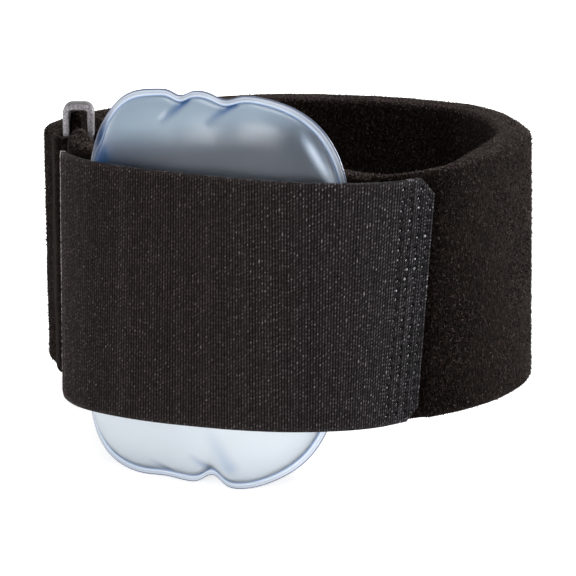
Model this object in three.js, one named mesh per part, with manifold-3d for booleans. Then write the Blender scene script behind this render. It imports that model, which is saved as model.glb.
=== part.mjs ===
// A forearm support for tennis elbow, fastened into a loop. A padded band goes round the arm and is
// threaded through a slim plastic ring, and a woven strap holds a sealed air cell against its front.
// Sizes are in millimetres. In the worn group Z is the axis of the arm, the strap faces -Y, and the
// origin is the middle of the loop. The resting group sets the support down on a level surface.
import * as THREE from 'three';
import { mergeVertices } from 'three/addons/utils/BufferGeometryUtils.js';
import Module from 'manifold-3d';

// Driving sizes
const bandHeight = 50;
const halfHeight = bandHeight / 2;
const seatGap = 0.3;
const bandEdgeRadius = 1.6;
const strapThickness = 1.2;
const strapEdgeRadius = 0.35;
const strapTopCorner = 3.4;
const strapBottomCorner = 2.0;
const hookTabThickness = 1.2;
const hookTabHeight = 44;
const hookTabFrom = 0.952;
const hookTabTo = 0.994;
const stationPitch = 2.6;
const largestRound = 0.45;

// The ring stands across the route of the band, with one leg on each side of its slot
const ring = {
  x: -42.5, y: 0.5, top: 31.3, bottom: -28.8, width: 6.3, depth: 3.8, bar: 1.35,
  cornerRadius: 1.9, slotCornerRadius: 0.4, edgeBevel: 0.3,
};

// The air cell's outline is a superellipse in the curved sheet between the strap and the band
const cell = {
  halfWidth: 29.0, halfHeight: 39.3, power: 3.4, middle: 31.0, level: 0.8, shear: 0.05,
  frontSwell: 4.4, backSwell: 4.7, fullness: 2.6, roundness: 0.55,
  rimWidth: 1.2, rimHalfThickness: 0.35, columns: 112, puckerFade: 6,
};
const cellRings = [0.2, 0.45, 0.67, 0.84, 0.95, 1];

// How the support settles by itself: on the cell's lower rim and the lower back edge of the band
const restPitch = -11.1;
const restRoll = -0.27;
const footFlat = 0.5;

function table(columns, rows) {
  return rows.map((row) => Object.fromEntries(columns.map((name, i) => [name, row[i]])));
}

// Middle of the band seen along the arm, from the hem round the ring's inner leg to the free end.
// lean is how far the top edge stands to the right of the middle, along the route.
const bandColumns = ['x', 'y', 'thick', 'lean'];
const hemThickness = 0.9;
const slotThickness = 1.7;
const legOffset = (ring.width - ring.bar) / 2;
const turnDepth = ring.depth / 2 - ring.edgeBevel;

// Half a turn round one leg of the ring, as rows of the band's table
function turnRows(legX, turnY, thick, from, to) {
  const reach = ring.bar / 2 + seatGap + thick / 2;
  return [0, 0.25, 0.5, 0.75, 1].map((part) => {
    const angle = THREE.MathUtils.degToRad(from + (to - from) * part);
    return { x: legX + reach * Math.cos(angle), y: turnY + reach * Math.sin(angle), thick, lean: 0 };
  });
}

const bandRows = [
  ...table(bandColumns, [
    // hem folded back on to the inner layer
    [-30.5, -13.9, hemThickness, 0],
    [-35.7, -11.3, hemThickness, 0],
    [-37.9, -8.3, hemThickness, 0],
    [-38.5, -3.5, hemThickness, 0],
  ]),
  ...turnRows(ring.x + legOffset, ring.y + turnDepth, hemThickness, 0, 180),
  // inner layer behind the air cell
  ...table(bandColumns, [
    [-41.5, -2.4, hemThickness, 0],
    [-41.9, -6.4, 3.4, 0],
    [-41.2, -10.6, 5.6, 0],
    [-37.3, -14.3, 5.3, 0],
    [-31.0, -17.6, 5.5, 0],
    [-20.0, -22.1, 5.5, 0],
    [-8.0, -26.7, 5.5, 0.3],
    [4.0, -30.7, 5.5, 1.0],
    [11.5, -33.2, 5.6, 1.7],
    [15.8, -35.4, 4.6, 2.1],
    // pinched under the joined end of the strap
    [19.1, -35.4, 1.7, 2.2],
    [21.5, -34.2, 1.2, 2.3],
    [23.7, -32.7, 1.2, 2.3],
    [26.2, -31.0, 1.3, 2.2],
    [28.9, -29.9, 3.2, 1.5],
    // right side and back
    [34.4, -25.3, 4.8, 0.5],
    [41.6, -15.0, 6.9, 0],
    [46.3, -3.0, 7.5, 0],
    [44.6, 10.2, 7.5, 0],
    [38.0, 25.4, 7.5, 0],
    [26.7, 33.6, 7.5, 0],
    [10.8, 38.0, 7.4, 0],
    [-5.0, 38.5, 7.2, 0],
    // left side, in to the slot of the ring
    [-18.0, 33.8, 6.8, 0],
    [-27.9, 23.7, 6.3, 0],
    [-36.4, 14.6, 6.0, 0],
    [-41.3, 8.4, 4.2, 0],
    [-43.1, 3.8, 2.0, 0],
  ]),
  ...turnRows(ring.x - legOffset, ring.y - turnDepth, slotThickness, 0, -180),
  // free end, folded back along the left side
  ...table(bandColumns, [
    [-47.1, 2.8, 2.5, 0],
    [-47.8, 8.2, 4.8, -0.1],
    [-45.8, 13.6, 5.0, -0.1],
    [-41.4, 20.2, 5.0, 0],
    [-36.2, 25.9, 4.6, 0],
    [-31.6, 29.9, 4.2, 0],
  ]),
];

// Outer face of the strap seen along the arm, from its cut end at the left corner to its joined end.
// skew is how far the top edge runs ahead of the middle, and drop how much lower the strap lies.
const strapRows = table(['x', 'y', 'lean', 'skew', 'drop'], [
  [-45.3, -16.6, -0.2, 0, 0],
  [-44.2, -20.4, -0.6, 0, 0],
  [-40.6, -25.8, -1.2, 0, 0],
  [-34.4, -30.8, -1.2, 0, 0],
  [-26.5, -35.1, -1.1, 0, 0],
  [-18.0, -38.7, -0.6, 0, 0],
  [-9.0, -41.8, 0, 0, 0],
  [0, -43.4, 0.8, 0.2, 0.1],
  [8.0, -43.2, 1.6, 0.4, 0.3],
  [14.0, -41.5, 2.0, 0.6, 0.6],
  [19.0, -38.8, 2.2, 0.8, 0.9],
  [23.0, -36.0, 2.3, 0.9, 1.0],
  [26.4, -33.6, 2.3, 0.9, 1.0],
]);

// Middle sheet of the air cell seen along the arm
const cellRows = table(['x', 'y', 'lean'], [
  [-40.6, -15.0, 0],
  [-38.9, -19.3, -0.3],
  [-34.0, -24.0, -0.9],
  [-26.0, -28.6, -0.9],
  [-14.0, -33.4, -0.4],
  [0, -37.6, 0.8],
  [10.5, -39.2, 1.7],
  [15.0, -39.2, 1.9],
]);

// Puckers where the cell's rim is gathered: top or bottom edge, place along it from the middle, depth.
// The rows of negative depth are lobes that stand out.
const puckers = table(['edge', 'place', 'depth', 'width'], [
  [1, -20.0, -1.0, 6.0],
  [1, -7.0, 1.2, 2.1],
  [1, 2.6, 1.3, 3.0],
  [-1, 3.8, 2.2, 2.3],
  [-1, -6.0, 0.6, 4.0],
  [-1, 10.0, -1.0, 6.5],
]);

const wasm = await Module();
wasm.setup();

// A closed geometry from rings of points: neighbouring rings are joined and the two ends are capped
function loft(rings) {
  const count = rings[0].length;
  const triangles = [];
  for (let i = 0; i + 1 < rings.length; i += 1) {
    for (let j = 0; j < count; j += 1) {
      const next = (j + 1) % count;
      const [a, b] = [i * count + j, i * count + next];
      const [c, d] = [a + count, b + count];
      triangles.push(a, c, b, b, c, d);
    }
  }
  const last = (rings.length - 1) * count;
  for (let j = 1; j + 1 < count; j += 1) {
    triangles.push(0, j, j + 1, last, last + j + 1, last + j);
  }
  const geometry = new THREE.BufferGeometry().setFromPoints(rings.flat());
  geometry.setIndex(triangles);
  geometry.computeVertexNormals();
  return geometry;
}

// A plan route through the rows of a table, with the other columns carried along it smoothly
function makeRoute(rows, carried) {
  const line = new THREE.CatmullRomCurve3(rows.map((row) => new THREE.Vector3(row.x, row.y, 0)));
  const tracks = {};
  for (const name of carried) {
    const values = rows.map((row) => new THREE.Vector3(row[name], 0, 0));
    tracks[name] = new THREE.CatmullRomCurve3(values, false, 'catmullrom');
  }
  return { line, tracks, spans: rows.length - 1 };
}

function stationAt(route, t) {
  const along = route.line.getTangent(t);
  const station = {
    point: route.line.getPoint(t),
    along,
    outward: new THREE.Vector3(along.y, -along.x, 0),
  };
  for (const [name, track] of Object.entries(route.tracks)) station[name] = track.getPoint(t).x;
  return station;
}

// Stations from one part of a route to another, closer together where the rows are
function stationsAlong(route, from = 0, to = 1) {
  const stations = [];
  const first = Math.floor(from * route.spans);
  const last = Math.ceil(to * route.spans);
  for (let span = first; span < last; span += 1) {
    const [start, end] = [span / route.spans, (span + 1) / route.spans];
    const length = route.line.getPoint(start).distanceTo(route.line.getPoint(end));
    const steps = Math.max(2, Math.ceil(length / stationPitch));
    for (let i = 0; i < steps; i += 1) {
      const t = start + ((end - start) * i) / steps;
      if (t > from) stations.push(t);
    }
  }
  return [from, ...stations.filter((t) => t < to), to].map((t) => stationAt(route, t));
}

// Rounded rectangle across a wall, as pairs of distance out from its middle and height
function wallSection(thick, top, bottom, radius) {
  const round = Math.min(radius, thick * largestRound);
  const corners = [
    [thick / 2 - round, top - round, 0],
    [round - thick / 2, top - round, 1],
    [round - thick / 2, bottom + round, 2],
    [thick / 2 - round, bottom + round, 3],
  ];
  return corners.flatMap(([out, up, quarter]) => [0, 0.5, 1].map((part) => {
    const angle = ((quarter + part) * Math.PI) / 2;
    return { out: out + round * Math.cos(angle), up: up + round * Math.sin(angle) };
  }));
}

// A point of a wall, with the lean and skew that its height brings and the wall's drop
function wallPoint(station, out, up) {
  const rise = up / halfHeight;
  return station.point.clone()
    .addScaledVector(station.outward, out + (station.lean ?? 0) * rise)
    .addScaledVector(station.along, (station.skew ?? 0) * rise)
    .setZ(up - (station.drop ?? 0));
}

function sweepWall(stations, sectionOf) {
  return loft(stations.map((station) => sectionOf(station)
    .map(({ out, up }) => wallPoint(station, out, up))));
}

function solidOf(geometry) {
  const bare = new THREE.BufferGeometry().setAttribute('position', geometry.getAttribute('position'));
  bare.setIndex(geometry.getIndex());
  const welded = mergeVertices(bare);
  return new wasm.Manifold(new wasm.Mesh({
    numProp: 3,
    vertProperties: new Float32Array(welded.getAttribute('position').array),
    triVerts: new Uint32Array(welded.getIndex().array),
  }));
}

function geometryOf(solid) {
  const mesh = solid.getMesh();
  const geometry = new THREE.BufferGeometry();
  geometry.setAttribute('position', new THREE.BufferAttribute(new Float32Array(mesh.vertProperties), 3));
  geometry.setIndex(Array.from(mesh.triVerts));
  geometry.computeVertexNormals();
  return geometry;
}

// Padded band: one strip of varying thickness with soft edges
const bandRoute = makeRoute(bandRows, ['thick', 'lean']);

function makeBand() {
  return sweepWall(stationsAlong(bandRoute), (station) => (
    wallSection(station.thick, halfHeight, -halfHeight, bandEdgeRadius)));
}

// Hook tab on the face of the free end that lies on the band
function makeHookTab() {
  const stations = stationsAlong(bandRoute, hookTabFrom, hookTabTo);
  return sweepWall(stations, (station) => {
    const inset = station.thick / 2 + seatGap + hookTabThickness / 2;
    return wallSection(hookTabThickness, hookTabHeight / 2, -hookTabHeight / 2, strapEdgeRadius)
      .map(({ out, up }) => ({ out: out + inset, up }));
  });
}

// Woven strap: a thin wall whose joined end has its corners cut off
function makeStrap() {
  const route = makeRoute(strapRows, ['lean', 'skew', 'drop']);
  const stations = stationsAlong(route);
  const end = stations.at(-1).point;
  return sweepWall(stations, (station) => {
    const toEnd = station.point.distanceTo(end);
    const top = halfHeight - Math.max(0, strapTopCorner - toEnd);
    const bottom = -halfHeight + Math.max(0, strapBottomCorner - toEnd);
    return wallSection(strapThickness, top, bottom, strapEdgeRadius)
      .map(({ out, up }) => ({ out: out - strapThickness / 2, up }));
  });
}

// Plastic ring: an upright frame round the slot
function frameOutline(shape, halfWidth, halfTall, radius) {
  shape.moveTo(halfWidth, radius - halfTall);
  shape.absarc(halfWidth - radius, halfTall - radius, radius, 0, Math.PI / 2);
  shape.absarc(radius - halfWidth, halfTall - radius, radius, Math.PI / 2, Math.PI);
  shape.absarc(radius - halfWidth, radius - halfTall, radius, Math.PI, 1.5 * Math.PI);
  shape.absarc(halfWidth - radius, radius - halfTall, radius, 1.5 * Math.PI, 2 * Math.PI);
  return shape;
}

function makeRing() {
  const halfTall = (ring.top - ring.bottom) / 2;
  const inset = ring.edgeBevel;
  const outline = frameOutline(
    new THREE.Shape(), ring.width / 2 - inset, halfTall - inset, ring.cornerRadius - inset);
  outline.holes.push(frameOutline(
    new THREE.Path(), ring.width / 2 - ring.bar + inset, halfTall - ring.bar + inset,
    ring.slotCornerRadius + inset));
  return new THREE.ExtrudeGeometry(outline, {
    depth: ring.depth - 2 * ring.edgeBevel,
    bevelEnabled: true,
    bevelThickness: ring.edgeBevel,
    bevelSize: ring.edgeBevel,
    bevelSegments: 2,
    curveSegments: 6,
  });
}

// Air cell: a pillow on the curved middle sheet, closed by a flat welded rim with gathered puckers
function makeCell() {
  const route = makeRoute(cellRows, ['lean']);
  const length = route.line.getLength();

  function rimPlace(column, inset, scale) {
    const angle = (2 * Math.PI * column) / cell.columns;
    const [c, s] = [Math.cos(angle), Math.sin(angle)];
    const side = Math.abs(c / (cell.halfWidth - inset)) ** cell.power;
    const end = Math.abs(s / (cell.halfHeight - inset)) ** cell.power;
    const reach = scale * (side + end) ** (-1 / cell.power);
    const across = reach * c;
    let up = reach * s;
    for (const pucker of puckers) {
      const pull = pucker.depth * Math.exp(-(((across - pucker.place) / pucker.width) ** 2));
      if (s * pucker.edge > 0) up -= pucker.edge * pull * scale ** cell.puckerFade;
    }
    return { across, up: up + cell.level };
  }

  function place(column, inset, scale, out) {
    const { across, up } = rimPlace(column, inset, scale);
    const run = cell.middle + across + cell.shear * up;
    const station = stationAt(route, route.line.getUtoTmapping(run / length));
    return wallPoint(station, out, up);
  }

  function pillowRing(scale, swell) {
    const depth = Math.abs(swell) * (1 - scale ** cell.fullness) ** cell.roundness + cell.rimHalfThickness;
    return columns.map((column) => place(column, cell.rimWidth, scale, Math.sign(swell) * depth));
  }

  const columns = Array.from({ length: cell.columns }, (_, i) => i);
  const rim = [1, -1].map((side) => columns.map((column) => (
    place(column, 0, 1, side * cell.rimHalfThickness))));
  const front = cellRings.map((scale) => pillowRing(scale, cell.frontSwell));
  const back = cellRings.map((scale) => pillowRing(scale, -cell.backSwell));
  return loft([...front, ...rim, ...back.reverse()]);
}

function finish(color, roughness) {
  return new THREE.MeshStandardMaterial({ color, roughness, metalness: 0 });
}

function addPiece(group, name, geometry, material) {
  const mesh = new THREE.Mesh(geometry, material);
  mesh.name = name;
  group.add(mesh);
  return mesh;
}

const worn = new THREE.Group();
const band = addPiece(worn, 'foam_band', makeBand(), finish(0x1c1613, 0.95));
addPiece(worn, 'hook_tab', makeHookTab(), finish(0x17171a, 0.7));
addPiece(worn, 'front_strap', makeStrap(), finish(0x26262b, 0.75));
addPiece(worn, 'air_cell', makeCell(), finish(0xa9bccb, 0.3));
const strapRing = addPiece(worn, 'strap_ring', makeRing(), finish(0x565355, 0.45));
strapRing.rotation.x = Math.PI / 2;
strapRing.position.set(ring.x, ring.y + ring.depth / 2 - ring.edgeBevel, (ring.top + ring.bottom) / 2);

// Set down: the loop leans back until the cell's lower rim and the band's lower back edge both touch
const resting = new THREE.Group();
resting.add(worn);
worn.rotation.set(THREE.MathUtils.degToRad(restPitch), THREE.MathUtils.degToRad(restRoll), 0);
resting.updateMatrixWorld(true);

// The band's foam is flattened where it stands
const floorLevel = new THREE.Box3().setFromObject(band, true).min.z + footFlat;
const floorSize = 400;
const floor = new THREE.BoxGeometry(floorSize, floorSize, floorSize);
floor.translate(0, 0, floorLevel - floorSize / 2);
floor.applyMatrix4(worn.matrixWorld.clone().invert());
band.geometry = geometryOf(solidOf(band.geometry).subtract(solidOf(floor)));

// The origin is under the middle of the whole support, on the surface that it stands on
const box = new THREE.Box3().setFromObject(resting, true);
worn.position.set(-(box.min.x + box.max.x) / 2, -(box.min.y + box.max.y) / 2, -box.min.z);

export default resting;
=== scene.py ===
import math

import bpy
import numpy as np
from mathutils import Matrix, Vector


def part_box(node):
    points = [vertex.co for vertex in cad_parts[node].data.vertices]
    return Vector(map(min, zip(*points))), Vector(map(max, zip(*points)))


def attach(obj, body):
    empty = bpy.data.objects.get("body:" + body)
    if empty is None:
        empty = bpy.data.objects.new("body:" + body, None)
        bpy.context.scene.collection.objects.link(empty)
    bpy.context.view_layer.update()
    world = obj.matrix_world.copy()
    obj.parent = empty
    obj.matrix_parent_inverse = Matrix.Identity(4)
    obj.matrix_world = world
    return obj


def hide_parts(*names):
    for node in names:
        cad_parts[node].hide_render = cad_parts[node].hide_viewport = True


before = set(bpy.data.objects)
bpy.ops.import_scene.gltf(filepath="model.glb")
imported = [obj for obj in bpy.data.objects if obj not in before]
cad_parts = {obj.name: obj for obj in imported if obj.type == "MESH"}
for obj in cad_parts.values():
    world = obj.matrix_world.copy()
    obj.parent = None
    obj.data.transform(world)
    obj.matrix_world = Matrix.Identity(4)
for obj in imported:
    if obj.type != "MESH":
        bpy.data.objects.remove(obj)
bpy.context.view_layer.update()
mm = 0.001
print("frame loaded:", sorted(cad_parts))

# Every piece is drawn as worn, in millimetres, with the arm's axis along Z,
# and then set down leaning as it rests
rest = {"pitch": -11.1, "roll": -0.27}  # degrees
ring = {
    "x": -42.5, "y": 0.5, "top": 31.3, "bottom": -28.8, "width": 6.3, "depth": 3.8, "bar": 1.35,
    "cornerRadius": 1.9, "cornerSteps": 7, "edgeRound": 0.42, "edgeSteps": 4, "mouldBevel": 0.3,
    "bevelAngle": 50, "smoothAngle": 40,
}
wornTurn = (Matrix.Rotation(math.radians(rest["pitch"]), 3, "X")
            @ Matrix.Rotation(math.radians(rest["roll"]), 3, "Y"))
ringMiddle = Vector((ring["x"], ring["y"], (ring["top"] + ring["bottom"]) / 2))
ringLow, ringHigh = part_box("strap_ring")
wornPlace = (ringLow + ringHigh) / 2 - wornTurn @ ringMiddle * mm
wornMatrix = Matrix.Translation(wornPlace) @ wornTurn.to_4x4() @ Matrix.Scale(mm, 4)
armAxis = wornTurn @ Vector((0, 0, 1))


def toPart(points):
    turn = np.array(wornMatrix)
    return np.asarray(points) @ turn[:3, :3].T + turn[:3, 3]


# Camera: the photo's view, which looks 15 degrees down on the loop and 26 on the surface
view = {
    "target": (0, -17, -3), "elevation": 15, "distance": 600, "focalPixels": 2998, "framePixels": 576,
    "sensorWidth": 36, "clipStart": 0.01,
}
tilt = math.radians(view["elevation"])
target = Vector(view["target"])
eye = target + Vector((0, -math.cos(tilt), math.sin(tilt))) * view["distance"]
toward = (wornTurn @ (target - eye)).normalized()
right = toward.cross(armAxis).normalized()
camera = bpy.data.objects.new("camera", bpy.data.cameras.new("camera"))
bpy.context.scene.collection.objects.link(camera)
camera.data.sensor_width = view["sensorWidth"]
camera.data.lens = view["sensorWidth"] * view["focalPixels"] / view["framePixels"]
camera.data.clip_start = view["clipStart"]
cameraAxes = Matrix((right, right.cross(toward), -toward)).transposed()
camera.matrix_world = Matrix.Translation(wornMatrix @ eye) @ cameraAxes.to_4x4()
bpy.context.scene.camera = camera
bpy.context.scene.view_settings.view_transform = "Standard"
print("camera set")


# Materials

mixFactor, mixA, mixB, mixResult = 0, 6, 7, 2  # sockets of a Mix node that mixes colours
pileStretch = (1, 1, 0.5)  # the pile's grain is twice as long up the band as along it


def linear(hexText):
    values = [int(hexText[i:i + 2], 16) / 255 for i in (1, 3, 5)]
    return tuple(v / 12.92 if v <= 0.04045 else ((v + 0.055) / 1.055) ** 2.4 for v in values) + (1.0,)


def addNode(tree, kind, output, inputs=None, stops=(), **settings):
    node = tree.nodes.new("ShaderNode" + kind)
    for name, value in settings.items():
        setattr(node, name, value)
    for socket, value in (inputs or {}).items():
        if isinstance(value, bpy.types.NodeSocket):
            tree.links.new(value, node.inputs[socket])
        else:
            node.inputs[socket].default_value = value
    if stops:  # places and colours along a ramp
        elements = node.color_ramp.elements
        while len(elements) < len(stops):
            elements.new(1)
        for element, (place, hexText) in zip(elements, stops):
            element.position = place
            element.color = linear(hexText)
    return None if output is None else node.outputs[output]


def loopPileFoam(tree):
    # Laminated foam with a brushed loop pile: no shine, a brown black ground, and a paler speckle
    # on its upward cut edges, partly the cut foam's own tone and partly painted light from above
    grainWidth, grainHeight, patchWidth = 0.38 * mm, 0.3 * mm, 9 * mm
    place = addNode(tree, "TexCoord", "Object")
    combed = addNode(tree, "VectorMath", "Vector", {0: place, 1: pileStretch}, operation="MULTIPLY")
    grain = addNode(tree, "TexNoise", "Fac", {"Vector": combed, "Scale": 1 / grainWidth, "Detail": 3.0})
    patch = addNode(tree, "TexNoise", "Fac", {"Vector": place, "Scale": 1 / patchWidth, "Detail": 2.0})
    face = addNode(tree, "ValToRGB", "Color", {"Fac": grain}, [
        (0.36, "#070504"), (0.50, "#0e0a08"), (0.66, "#221b18")])
    cutAndLitTop = addNode(tree, "ValToRGB", "Color", {"Fac": grain}, [
        (0.38, "#080605"), (0.50, "#191412"), (0.64, "#433b38")])
    # paler cut edge only where it faces up: partly the cut foam's tone, partly painted light from above
    normal = addNode(tree, "NewGeometry", "Normal")
    upward = addNode(tree, "VectorMath", "Value", {0: normal, 1: tuple(armAxis)}, operation="DOT_PRODUCT")
    onEdge = addNode(tree, "MapRange", "Result", {"Value": upward, "From Min": 0.45, "From Max": 0.9})
    color = addNode(tree, "Mix", mixResult, {mixFactor: onEdge, mixA: face, mixB: cutAndLitTop}, data_type="RGBA")
    wear = addNode(tree, "MapRange", "Result", {
        "Value": patch, "From Min": 0.3, "From Max": 0.7, "To Min": 0.75, "To Max": 1.2})
    scaledColor = addNode(tree, "VectorMath", "Vector", {0: color, "Scale": wear}, operation="SCALE")
    bump = addNode(tree, "Bump", "Normal", {"Height": grain, "Strength": 0.8, "Distance": grainHeight})
    return addNode(tree, "BsdfPrincipled", "BSDF", {
        "Base Color": scaledColor, "Roughness": 0.95, "Normal": bump, "Specular IOR Level": 0.02,
        "Sheen Weight": 0.05, "Sheen Roughness": 0.4, "Sheen Tint": linear("#a8968d")})


def brushedLoops(tree):
    # Nylon loops raised by brushing: each tuft has its own tone, the ones on the top cut edges paler, partly
    # their own tone and partly painted light from above
    clumpWidth = 0.6 * mm
    place = addNode(tree, "TexCoord", "Object")
    combed = addNode(tree, "VectorMath", "Vector", {0: place, 1: pileStretch}, operation="MULTIPLY")
    clump = addNode(tree, "TexNoise", "Fac", {"Vector": combed, "Scale": 1 / clumpWidth, "Detail": 2.0})
    raised = addNode(tree, "MapRange", "Result", {"Value": clump, "From Min": 0.40, "From Max": 0.58})
    tuft = addNode(tree, "NewGeometry", "Random Per Island")
    own = addNode(tree, "MapRange", "Result", {"Value": tuft, "To Min": 0.35, "To Max": 1.25})
    tone = addNode(tree, "Math", "Value", {0: raised, 1: own}, operation="MULTIPLY")
    face = addNode(tree, "ValToRGB", "Color", {"Fac": tone}, [
        (0.0, "#050302"), (0.35, "#0e0908"), (0.75, "#28201d"), (1.0, "#4e4541")])
    cutAndLitTop = addNode(tree, "ValToRGB", "Color", {"Fac": tone}, [
        (0.0, "#0b0807"), (0.45, "#1e1917"), (0.75, "#302926"), (1.0, "#6a615c")])
    edge = addNode(tree, "Attribute", "Fac", attribute_name="cutEdgeLitTop")
    color = addNode(tree, "Mix", mixResult, {mixFactor: edge, mixA: face, mixB: cutAndLitTop}, data_type="RGBA")
    return addNode(tree, "BsdfPrincipled", "BSDF", {
        "Base Color": color, "Roughness": 0.8, "Specular IOR Level": 0.04,
        "Sheen Weight": 0.1, "Sheen Roughness": 0.4, "Sheen Tint": linear("#a89c98")})


def wovenTape(tree):
    # Woven nylon hook tape: upright ribs of hard yarn, with painted shade in the dark gaps between them and
    # painted highlights on a few knots and along its cut left end, brown black at its left end and a paler,
    # cooler grey towards the joined one by painted cool light
    yarnsPerMillimetre, yarnHeight = 2.2, 0.12 * mm  # the tape's UV map is in millimetres
    coolFrom, coolTo = 40.0, 85.0
    place = addNode(tree, "TexCoord", "UV")
    yarn = addNode(tree, "TexNoise", "Fac", {"Vector": place, "Scale": yarnsPerMillimetre, "Detail": 2.0})
    lustre = addNode(tree, "MapRange", "Result", {
        "Value": yarn, "From Min": 0.35, "From Max": 0.65, "To Min": 0.6, "To Max": 0.96})
    # the weave's painted shade and light, with each yarn's own tone
    ribs = addNode(tree, "Attribute", "Fac", attribute_name="weaveLightAndTone")
    height = addNode(tree, "Math", "Value", {0: ribs, 1: lustre}, operation="MULTIPLY")
    warm = addNode(tree, "ValToRGB", "Color", {"Fac": height}, [
        (0.0, "#070505"), (0.36, "#2b2424"), (0.68, "#463d3c"), (0.8, "#5e5554"), (1.0, "#8f898b")])
    paintedCoolLight = addNode(tree, "ValToRGB", "Color", {"Fac": height}, [
        (0.0, "#050506"), (0.36, "#292729"), (0.68, "#575458"), (0.8, "#868388"), (1.0, "#a5a3a8")])
    along = addNode(tree, "SeparateXYZ", "X", {"Vector": place})
    # painted cool light from the right: the tape paler and cooler grey towards its right end
    toEnd = addNode(tree, "MapRange", "Result", {"Value": along, "From Min": coolFrom, "From Max": coolTo})
    tone = addNode(tree, "Mix", mixResult, {mixFactor: toEnd, mixA: warm, mixB: paintedCoolLight}, data_type="RGBA")
    bump = addNode(tree, "Bump", "Normal", {"Height": height, "Strength": 0.5, "Distance": yarnHeight})
    return addNode(tree, "BsdfPrincipled", "BSDF", {
        "Base Color": tone, "Roughness": 0.5, "Normal": bump, "Specular IOR Level": 0.06})


def fusedNylon(tree):
    # Nylon melted by the joining press: small glossy beads that catch the light, from black to pale grey by
    # their own random tone and by painted light that grows towards the top
    tone = addNode(tree, "Attribute", "Fac", attribute_name="beadToneAndLight")
    color = addNode(tree, "ValToRGB", "Color", {"Fac": tone}, [
        (0.0, "#121114"), (0.35, "#3a383c"), (1.0, "#9c9aa0")])
    return addNode(tree, "BsdfPrincipled", "BSDF", {"Base Color": color, "Roughness": 0.26, "IOR": 1.53})


def frostedVinyl(tree):
    # Frosted PVC film blown into a pillow: see-through low down, milky where it swells above the foam, blue
    # in its folds and along its weld, with painted shade in its creases, its weld's slit, over the foam above
    # the strap and low at its left, a painted highlight down its right flank, and a soft plastic gloss on top
    cloudWidth, frostWidth, frostHeight = 14 * mm, 0.5 * mm, 0.05 * mm
    leastRim = 0.001  # the film itself has a rim value of 0
    rim, blueAndShade, haze, sheen, onFilm = (addNode(tree, "Attribute", "Fac", attribute_name=name)
                                      for name in ("rimBand", "blueTintAndShade", "haze", "gloss", "milkTint"))
    place = addNode(tree, "TexCoord", "Object")
    cloud = addNode(tree, "TexNoise", "Fac", {"Vector": place, "Scale": 1 / cloudWidth, "Detail": 2.0})
    film = addNode(tree, "ValToRGB", "Color", {"Fac": cloud}, [(0.35, "#d1d9e0"), (0.65, "#d9e0e6")])
    weld = addNode(tree, "ValToRGB", "Color", {"Fac": rim}, [
        (0.0, "#dbe6f1"), (0.09, "#3a5c94"), (0.20, "#a9c2e2"), (0.38, "#f2f6fa"), (0.58, "#bccde4"),
        (0.74, "#eff4f9"), (0.94, "#2f4c80")])
    onRim = addNode(tree, "Math", "Value", {0: rim, 1: leastRim}, operation="GREATER_THAN")
    sheet = addNode(tree, "Mix", mixResult, {mixFactor: onRim, mixA: film, mixB: weld}, data_type="RGBA")
    # the film's deeper blue, with painted shade in its creases, its slit, over the foam and low at the left
    color = addNode(tree, "Mix", mixResult, {mixFactor: blueAndShade, mixA: sheet, mixB: linear("#4576b2")},
                    data_type="RGBA")
    # the milk's tint, left out along the painted highlight on the right flank
    milky = addNode(tree, "Mix", mixResult, {mixFactor: onFilm, mixA: color, mixB: linear("#c8d6e0")},
                    data_type="RGBA", blend_type="MULTIPLY")
    frost = addNode(tree, "TexNoise", "Fac", {"Vector": place, "Scale": 1 / frostWidth, "Detail": 1.0})
    bump = addNode(tree, "Bump", "Normal", {"Height": frost, "Strength": 0.08, "Distance": frostHeight})
    gloss = {"Normal": bump, "Coat Weight": sheen, "Coat Roughness": 0.24, "Coat IOR": 1.5}
    clear = addNode(tree, "BsdfPrincipled", "BSDF", {
        "Base Color": color, "Roughness": 0.5, "IOR": 1.33, "Transmission Weight": 1.0,
        "Specular Tint": linear("#b4bef0")} | gloss)
    milk = addNode(tree, "BsdfPrincipled", "BSDF", {
        "Base Color": milky, "Roughness": 0.6, "Specular IOR Level": 0.2} | gloss)
    return addNode(tree, "MixShader", "Shader", {0: haze, 1: clear, 2: milk})


def mouldedNylon(tree):
    # Moulded grey nylon: satin, with the fine grain of a spark eroded mould, and painted light that makes its
    # front faces paler and the rest darker
    grainWidth, grainHeight = 0.35 * mm, 0.06 * mm
    forward = (0, -1, 0)
    place = addNode(tree, "TexCoord", "Object")
    grain = addNode(tree, "TexNoise", "Fac", {"Vector": place, "Scale": 1 / grainWidth, "Detail": 3.0})
    color = addNode(tree, "ValToRGB", "Color", {"Fac": grain}, [
        (0.3, "#434143"), (0.5, "#605d60"), (0.7, "#807d80")])
    normal = addNode(tree, "NewGeometry", "Normal")
    front = addNode(tree, "VectorMath", "Value", {0: normal, 1: forward}, operation="DOT_PRODUCT")
    # painted light: paler on faces turned to the front, darker on the others
    paintedFrontLight = addNode(tree, "MapRange", "Result", {
        "Value": front, "From Min": 0.3, "From Max": 0.9, "To Min": 0.55, "To Max": 2.3})
    scaledColor = addNode(tree, "VectorMath", "Vector", {0: color, "Scale": paintedFrontLight}, operation="SCALE")
    bump = addNode(tree, "Bump", "Normal", {"Height": grain, "Strength": 0.35, "Distance": grainHeight})
    return addNode(tree, "BsdfPrincipled", "BSDF", {
        "Base Color": scaledColor, "Roughness": 0.42, "IOR": 1.53, "Normal": bump})


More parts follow.
